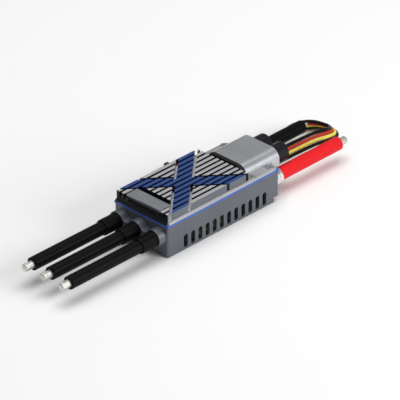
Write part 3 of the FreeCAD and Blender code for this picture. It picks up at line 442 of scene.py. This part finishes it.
def cord_curve(name, points, diameter, material):
    """Make a cord as one open spline with a round section."""
    curve = bpy.data.curves.new(name, "CURVE")
    curve.dimensions = "3D"
    spline = curve.splines.new("NURBS")
    spline.points.add(len(points) - 1)
    weighted = np.hstack([points, np.ones((len(points), 1))])
    spline.points.foreach_set("co", weighted.ravel())
    spline.order_u = 3
    spline.use_endpoint_u = True
    spline.resolution_u = 10
    curve.bevel_depth = diameter / 2
    curve.bevel_resolution = 8
    curve.use_fill_caps = True
    curve.materials.append(material)
    cord = bpy.data.objects.new(name, curve)
    bpy.context.scene.collection.objects.link(cord)
    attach(cord, BODY)
    return cord


class CONTROLLER_OT_leads(bpy.types.Operator):
    """Lay the five thick leads, with their tinned ends"""
    bl_idname = "controller.leads"
    bl_label = "Thick leads"

    def execute(self, context):
        colours = context.scene.controller_colours
        sizes = context.scene.controller_sizes
        black = silicone("black_silicone", colours.black_lead)
        red = silicone("red_silicone", colours.red_lead, 0.38)
        tinned = brushed_metal("tinned_strands", (0.62, 0.61, 0.58), 0.34, 0.0, (1, 0.1, 0.1))
        leads = [(f"motor_lead_{place}", f"motor_tip_{place}", black, -1) for place in MOTOR_PLACES]
        leads += [("positive_lead", "positive_tip", red, 1), ("negative_lead", "negative_tip", black, 1)]
        for node, tip, material, way in leads:
            low, high = span(node)
            side, height = axis_of(node)
            diameter = (high - low)[1]
            near, far = (low[0], high[0]) if way > 0 else (high[0], low[0])
            along = near + (far - near) * np.linspace(0, 1, 5)
            points = np.stack([along, np.full(5, side), np.full(5, height)], -1)
            cord = cord_curve(f"{node}_cord", points, diameter, material)
            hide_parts(node)
            strands = self.strands(tip, way, tinned, sizes.strand_depth)
        return {"FINISHED"}

    @staticmethod
    def strands(node, way, material, deepest):
        """Twisted strands: a rod whose radius is r - depth * |sin(n a / 2 + twist x)|, with a rounded end.

        The end's radius is cos(u) ** bluntness where its reach is sin(u), for u up to a quarter turn.
        """
        low, high = span(node)
        side, height = axis_of(node)
        radius = (high - low)[1] / 2
        depth = min(deepest, radius / 8)
        start, end = (low[0], high[0]) if way > 0 else (high[0], low[0])
        straight = 0.86
        bluntness = 0.45
        strand_count = 18
        twist_per_metre = 260.0
        body = np.linspace(0, straight, 14)
        ending = np.linspace(0, 1, 7)[1:] * math.pi / 2
        share = np.concatenate([body, straight + (1 - straight) * np.sin(ending)])
        reach = np.concatenate([np.ones(len(body)), np.cos(ending) ** bluntness])
        profile = np.stack([start + (end - start) * share, radius * reach], -1)
        profile = np.vstack([[start, 0.0], profile, [end, 0.0]])

        def dips(x, angle):
            twist = (x - start) * twist_per_metre
            return 1 - depth / radius * np.abs(np.sin(strand_count * angle / 2 + twist))

        mesh = turned(f"{node}_strands", profile, (side, height), 180, dips, 60.0)
        return add_piece(f"{node}_strands", mesh, material, [node])


class CONTROLLER_OT_signal_cable(bpy.types.Operator):
    """Lay the four signal wires side by side, into the hank and its plug"""
    bl_idname = "controller.signal_cable"
    bl_label = "Signal cable"

    def execute(self, context):
        colours = context.scene.controller_colours
        pitch = context.scene.controller_sizes.wire_pitch / MM
        diameter = context.scene.controller_sizes.wire_diameter
        tints = (colours.wires_upper, colours.wires_red, colours.wires_yellow, colours.wires_lower)
        slots = ("wire_black", "wire_red", "wire_yellow", "wire_brown")
        steps = (1.5, 0.5, -0.5, -1.5)
        for node, tint, slot, step in zip(WIRE_NODES, tints, slots, steps):
            material = silicone(f"{node}_silicone", tint, 0.4)
            cord = cord_curve(f"{node}_cord", wire_points(step * pitch), diameter, material)
            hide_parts(*((node, "signal_hank") if node == WIRE_NODES[0] else (node,)))
        return {"FINISHED"}


class CONTROLLER_OT_sleeves(bpy.types.Operator):
    """Shrink the black sleeves on the motor leads and fit the metal ferrules of the battery leads"""
    bl_idname = "controller.sleeves"
    bl_label = "Sleeves and ferrules"

    def execute(self, context):
        sizes = context.scene.controller_sizes
        shrunk = moulded("shrunk_sleeve", (0.002, 0.002, 0.0024), 0.5, 900.0, 0.05, specular=0.08)
        turned_metal = brushed_metal("turned_ferrule", (0.78, 0.79, 0.81), 0.27, 0.0, (1, 0.05, 0.05))
        for place in MOTOR_PLACES:
            self.sleeve(f"lead_sleeve_{place}", f"motor_lead_{place}", sizes.sleeve_lip, shrunk)
        for pole in BATTERY_POLES:
            self.ferrule(f"{pole}_ferrule", f"{pole}_lead", sizes.ferrule_chamfer, turned_metal)
        return {"FINISHED"}

    @staticmethod
    def sleeve(node, lead, lip, material):
        """A shrunk sleeve with faint waves: at its open end (1 - cos u, sin u) rounds it to its lead."""
        low, high = span(node)
        side, height = axis_of(node)
        outer = (high - low)[1] / 2
        inner = inner_radius(lead)
        thinnest = inner + 0.12 * MM
        wave_depth = 0.012
        wave_fade = 2 * MM
        ease = np.linspace(0, 1, 9) * math.pi / 2
        lips = np.stack([low[0] + lip * (1 - np.cos(ease)), thinnest + (outer - thinnest) * np.sin(ease)], -1)
        body = np.stack([np.linspace(low[0] + lip, high[0], 24)[1:], np.full(23, outer)], -1)
        profile = np.vstack([[low[0], inner], lips, body, [high[0], inner], [low[0], inner]])

        def waves(x, angle):
            fade = np.clip((x - low[0]) / wave_fade, 0, 1)
            return 1 - wave_depth * fade * (0.5 + 0.5 * np.sin(3 * angle + x * 900) * np.sin(x * 2300))

        mesh = turned(f"{node}_shrunk", profile, (side, height), 96, waves, 50.0)
        add_piece(f"{node}_shrunk", mesh, material, [node])

    @staticmethod
    def ferrule(node, lead, chamfer, material):
        """A turned ring, rounded at its end, with a shallow groove round its middle."""
        low, high = span(node)
        side, height = axis_of(node)
        outer = (high - low)[1] / 2
        inner = inner_radius(lead)
        groove = 0.25 * MM
        groove_start = low[0] + (high[0] - low[0]) * 0.42
        groove_end = low[0] + (high[0] - low[0]) * 0.6
        profile = [(low[0], inner), (low[0], outer), (groove_start, outer)]
        profile += [(groove_start + groove, outer - groove), (groove_end - groove, outer - groove)]
        profile += [(groove_end, outer), (high[0] - chamfer, outer)]
        profile += rounded_corner((high[0] - chamfer, outer - chamfer), chamfer, 80, 5, 5)
        profile += [(high[0], inner + chamfer), (high[0] - chamfer / 2, inner), (low[0], inner)]
        mesh = turned(f"{node}_turned", profile, (side, height), 128, sharp=30.0)
        add_piece(f"{node}_turned", mesh, material, [node])


class CONTROLLER_OT_capacitors(bpy.types.Operator):
    """Stand the two capacitors in their cover"""
    bl_idname = "controller.capacitors"
    bl_label = "Capacitors"

    def execute(self, context):
        rim = context.scene.controller_sizes.capacitor_rim
        sleeve = moulded("capacitor_sleeve", (0.009, 0.009, 0.011), 0.36, 700.0, 0.04, specular=0.16)
        bare = brushed_metal("capacitor_end", (0.68, 0.68, 0.7), 0.3, 0.0, (1, 1, 1))
        for node in ("capacitor_near", "capacitor_far"):
            self.can(node, rim, sleeve)
            self.end(node, rim, bare)
        return {"FINISHED"}

    @staticmethod
    def can(node, rim, material):
        """The sleeved can: a straight wall, rounded rims, and a lip that leaves the end's middle bare."""
        low, high = span(node)
        side, height = axis_of(node)
        radius = (high - low)[1] / 2
        recess = high[0] - 0.25 * MM
        profile = [(low[0], 0.0), (low[0], radius - rim)]
        profile += rounded_corner((low[0] + rim, radius - rim), rim, 180, 90, 6)
        profile += rounded_corner((high[0] - rim, radius - rim), rim, 90, 0, 8)
        profile += [(high[0], radius - 1.6 * rim), (recess, radius - 1.75 * rim), (recess, 0.0)]
        mesh = turned(f"{node}_sleeved", profile, (side, height), 128, sharp=35.0)
        add_piece(f"{node}_sleeved", mesh, material, [node])

    @staticmethod
    def end(node, rim, material):
        """The bare end: a disc whose face is set back by 0.2 - 0.1 s ** 2 mm at a share s of its radius.

        Three scores 0.16 mm deep run out from the middle to four fifths of the radius.
        """
        low, high = span(node)
        side, height = axis_of(node)
        radius = (high - low)[1] / 2 - 1.8 * rim
        score_width = 0.28 * MM
        share = np.linspace(0, 1, 28)[:, None]
        angle = np.linspace(0, 2 * math.pi, 144, endpoint=False)[None, :]
        unscored = np.minimum(1, np.abs(np.sin(1.5 * angle)) * share * radius / score_width)
        face = high[0] - (0.2 - 0.1 * share ** 2 + 0.16 * (1 - unscored) * (share < 0.8)) * MM
        spread = radius * share
        points = np.stack([face, side + spread * np.cos(angle), height + spread * np.sin(angle)], -1)
        back = points[-1:].copy()
        back[..., 0] = high[0] - 0.4 * MM
        foot = back.copy()
        foot[..., 1:] = (side, height)
        surface = surface_mesh(f"{node}_bare_end", np.vstack([points, back, foot]), wrap_columns=True)
        add_piece(f"{node}_bare_end", close_mesh(surface), material, ())


# The through bar runs at this angle from X, seen from above
CROSS_ANGLE = math.radians(40.7)


def across(nodes, x, y):
    """Give the part of (x, y) that lies across the through bar, without its sign."""
    from_x = nodes.math("MULTIPLY", x, -math.sin(CROSS_ANGLE))
    from_y = nodes.math("MULTIPLY", y, math.cos(CROSS_ANGLE))
    return nodes.math("ABSOLUTE", nodes.math("ADD", from_x, from_y))


def across_bar(nodes, place):
    """Give how far a point lies from the through bar's middle line, seen from above."""
    low, high = span("cross_bar")
    return across(nodes, nodes.math("SUBTRACT", place[0], (low[0] + high[0]) / 2), place[1])


def top_mask(nodes, place, facing, top):
    """Choose the level faces at the very top."""
    level = nodes.math("GREATER_THAN", facing[2], 0.7)
    return nodes.math("MULTIPLY", level, nodes.math("GREATER_THAN", place[2], top - 0.1 * MM))


def side_mask(nodes, place):
    """Choose the long outer sides of the finned block."""
    side = span("cross_bar")[1][1] - 0.1 * MM
    return nodes.math("GREATER_THAN", nodes.math("ABSOLUTE", place[1]), side)


class CONTROLLER_OT_casing(bpy.types.Operator):
    """Finish the tray, its seam ring, the heatsink, the diagonal bars, the plate and the cover"""
    bl_idname = "controller.casing"
    bl_label = "Casing"

    def execute(self, context):
        colours = context.scene.controller_colours
        soft = context.scene.controller_sizes.edge_softness
        dress(painted_metal("case_paint", colours.case, 0.42, soft), "lower_case")
        dress(moulded("seam_band", colours.seam, 0.35, 1500.0, 0.02, soft), "seam_gasket")
        dress(self.heatsink(colours, soft), "heatsink")
        dress(self.bars(colours, soft), "cross_bar", "cross_bar_halves")
        dress(brushed_metal("plate_satin", colours.plate, 0.4, soft, (1, 0.04, 1)), "name_plate")
        dress(moulded("plate_base", (0.012, 0.012, 0.013), 0.5, softness=soft), "plate_base")
        dress(painted_metal("cover_paint", colours.cover, 0.3, soft, 0.12, 0.7), "capacitor_cover")
        dress(moulded("bezel_plastic", (0.008, 0.008, 0.009), 0.55, softness=soft), "capacitor_bezel")
        return {"FINISHED"}

    @staticmethod
    def heatsink(colours, soft):
        """Black slots, machined tops, a bright groove on each side of the through bar, and painted sides.
        The sides are the tray's grey made lighter as painted light, the flange bare metal made darker as
        painted shade.
        """
        low, high = span("heatsink")
        groove_edge = 5.0 * MM
        flange_top = low[2] + 1.35 * MM
        flange_front = low[0] + 1.2 * MM

        def finishes(nodes):
            place, facing = nodes.place(), nodes.facing()
            flange = nodes.math("MULTIPLY", nodes.math("LESS_THAN", place[2], flange_top),
                                nodes.math("GREATER_THAN", place[0], flange_front))
            groove = nodes.math("LESS_THAN", across_bar(nodes, place), groove_edge)
            top = top_mask(nodes, place, facing, high[2])
            # Painted light and shade: the sides are the tray's grey made 1.25 times lighter, and the flange
            # is the bare metal darkened to 0.8 of it.
            return ((groove, colours.groove), (side_mask(nodes, place), shade(colours.case, 1.25)),
                    (flange, shade(colours.bare, 0.8)), (top, colours.bare))

        return layered_metal("heatsink_metal", colours.slot, 0.4, finishes, soft)

    @staticmethod
    def bars(colours, soft):
        """Blue tops over dark blue slots, with bright walls along the through bar and painted ends.
        The ends are the tray's grey made lighter as painted light.
        """
        top = span("cross_bar")[1][2]

        def finishes(nodes):
            place, facing = nodes.place(), nodes.facing()
            wall = nodes.math("GREATER_THAN", across(nodes, facing[0], facing[1]), 0.97)
            # Painted light: the ends are the tray's grey made 1.25 times lighter.
            return ((wall, colours.groove), (side_mask(nodes, place), shade(colours.case, 1.25)),
                    (top_mask(nodes, place, facing, top), colours.cross))

        return layered_metal("bar_blue", colours.cross_slot, 0.35, finishes, soft)


class CONTROLLER_OT_small_parts(bpy.types.Operator):
    """Finish the screws, the plug, the tie, the grommet and the electronics inside"""
    bl_idname = "controller.small_parts"
    bl_label = "Small parts"

    def execute(self, context):
        soft = 0.15 * MM
        dress(brushed_metal("screw_steel", (0.5, 0.5, 0.52), 0.32, soft, (1, 1, 0.1)),
              "flange_screws", "case_screws", "board_screws")
        dress(moulded("plug_plastic", (0.012, 0.012, 0.013), 0.42, softness=soft), "signal_plug")
        dress(moulded("tie_nylon", (0.014, 0.014, 0.015), 0.45, softness=soft), "cable_tie")
        dress(moulded("grommet_rubber", (0.012, 0.012, 0.012), 0.7, softness=soft), "signal_grommet")
        dress(brushed_metal("plated_brass", (0.72, 0.52, 0.22), 0.3, soft), "plug_contacts", "board_spacers")
        dress(brushed_metal("bare_copper", (0.72, 0.3, 0.15), 0.35, soft), "motor_lead_cores",
              "battery_lead_cores", "heat_spreader", "phase_bars", "supply_bars", "current_shunt")
        dress(moulded("solder_mask", (0.01, 0.09, 0.035), 0.3, softness=soft), "power_board", "control_board",
              "capacitor_board")
        dress(moulded("chip_epoxy", (0.015, 0.015, 0.016), 0.6, softness=soft), "mosfets", "microcontroller",
              "gate_drivers", "board_link", "signal_header")
        dress(moulded("thermal_pad", (0.33, 0.4, 0.5), 0.8, 1200.0, 0.06), "thermal_pad")
        dress(moulded("insulating_sheet", (0.3, 0.24, 0.1), 0.45, 1200.0, 0.03), "insulating_sheet")
        dress(moulded("fired_ceramic", (0.36, 0.22, 0.12), 0.5, softness=soft), "ceramic_capacitors")
        dress(moulded("lamp_resin", (0.75, 0.1, 0.06), 0.2, softness=soft), "status_lamp")
        return {"FINISHED"}


class CONTROLLER_OT_stage(bpy.types.Operator):
    """Set the floor, the soft lights and the camera"""
    bl_idname = "controller.stage"
    bl_label = "Floor, lights and camera"

    def execute(self, context):
        scene = context.scene
        self.floor()
        self.light("top", (0.15, 0.1, 1.3), 1.1, 12.0)
        self.light("side", (0.45, -1.2, 0.55), 0.7, 11.0)
        world = bpy.data.worlds.new("soft_room")
        world.use_nodes = True
        world.node_tree.nodes["Background"].inputs["Color"].default_value = (1.0, 1.0, 1.0, 1.0)
        world.node_tree.nodes["Background"].inputs["Strength"].default_value = 0.26
        scene.world = world
        scene.view_settings.view_transform = "Standard"
        self.camera(scene, scene.controller_sizes.camera_distance)
        return {"FINISHED"}

    @staticmethod
    def floor():
        """A level sheet with a faint mottle."""
        nodes = Nodes("pale_floor")
        nodes.set(colour=nodes.mix(nodes.noise(6.0), (0.93, 0.93, 0.93), (0.96, 0.96, 0.96)), roughness=0.9,
                  specular=0.1)
        across = np.linspace(-6, 6, 9)
        points = np.stack(np.meshgrid(across, across, indexing="ij") + [np.zeros((9, 9))], -1)
        mesh = surface_mesh("floor", points)
        mesh.materials.append(nodes.material)
        floor = bpy.data.objects.new("floor", mesh)
        bpy.context.scene.collection.objects.link(floor)

    @staticmethod
    def light(name, place, size, power):
        """Hang a square soft light that faces the case."""
        lamp = bpy.data.lights.new(f"{name}_light", "AREA")
        lamp.size = size
        lamp.energy = power
        hung = bpy.data.objects.new(f"{name}_light", lamp)
        hung.location = place
        hung.rotation_euler = (-Vector(place)).to_track_quat("-Z", "Y").to_euler()
        bpy.context.scene.collection.objects.link(hung)

    @staticmethod
    def camera(scene, distance):
        """Look down on the case from its motor side."""
        around, above = math.radians(-45.86), math.radians(30.47)
        level = math.cos(above)
        right = Vector((math.cos(around), math.sin(around), 0))
        away = Vector((math.sin(around) * level, -math.cos(around) * level, math.sin(above)))
        up = away.cross(right)
        case_middle = Vector((-0.0005, 0, 0.012))
        aim = case_middle + right * 0.00168 - up * 0.0025
        lens = bpy.data.cameras.new("camera")
        lens.lens = 343.8
        lens.sensor_width = 36
        lens.clip_end = 20
        camera = bpy.data.objects.new("camera", lens)
        camera.location = aim + away * distance
        camera.rotation_euler = (-away).to_track_quat("-Z", "Y").to_euler()
        scene.collection.objects.link(camera)
        scene.camera = camera


class CONTROLLER_PT_panel(bpy.types.Panel):
    """Lists what builds the controller"""
    bl_idname = "CONTROLLER_PT_panel"
    bl_label = "Speed controller"
    bl_space_type = "VIEW_3D"
    bl_region_type = "UI"
    bl_category = "Controller"

    def draw(self, context):
        for operator in OPERATORS:
            self.layout.operator(operator.bl_idname)
        for group in (context.scene.controller_sizes, context.scene.controller_colours):
            for name in group.__annotations__:
                self.layout.prop(group, name)


OPERATORS = (CONTROLLER_OT_leads, CONTROLLER_OT_signal_cable, CONTROLLER_OT_sleeves, CONTROLLER_OT_capacitors,
             CONTROLLER_OT_casing, CONTROLLER_OT_small_parts, CONTROLLER_OT_stage)


def register():
    """Register the properties, the operators and the panel."""
    for kind in (ControllerSizes, ControllerColours) + OPERATORS + (CONTROLLER_PT_panel,):
        bpy.utils.register_class(kind)
    bpy.types.Scene.controller_sizes = bpy.props.PointerProperty(type=ControllerSizes)
    bpy.types.Scene.controller_colours = bpy.props.PointerProperty(type=ControllerColours)


def unregister():
    """Take the panel, the operators and the properties away."""
    del bpy.types.Scene.controller_colours
    del bpy.types.Scene.controller_sizes
    for kind in reversed((ControllerSizes, ControllerColours) + OPERATORS + (CONTROLLER_PT_panel,)):
        bpy.utils.unregister_class(kind)


def main():
    """Build every piece and the stage."""
    register()
    for operator in OPERATORS:
        group, name = operator.bl_idname.split(".")
        getattr(getattr(bpy.ops, group), name)()


if __name__ == "__main__":
    main()
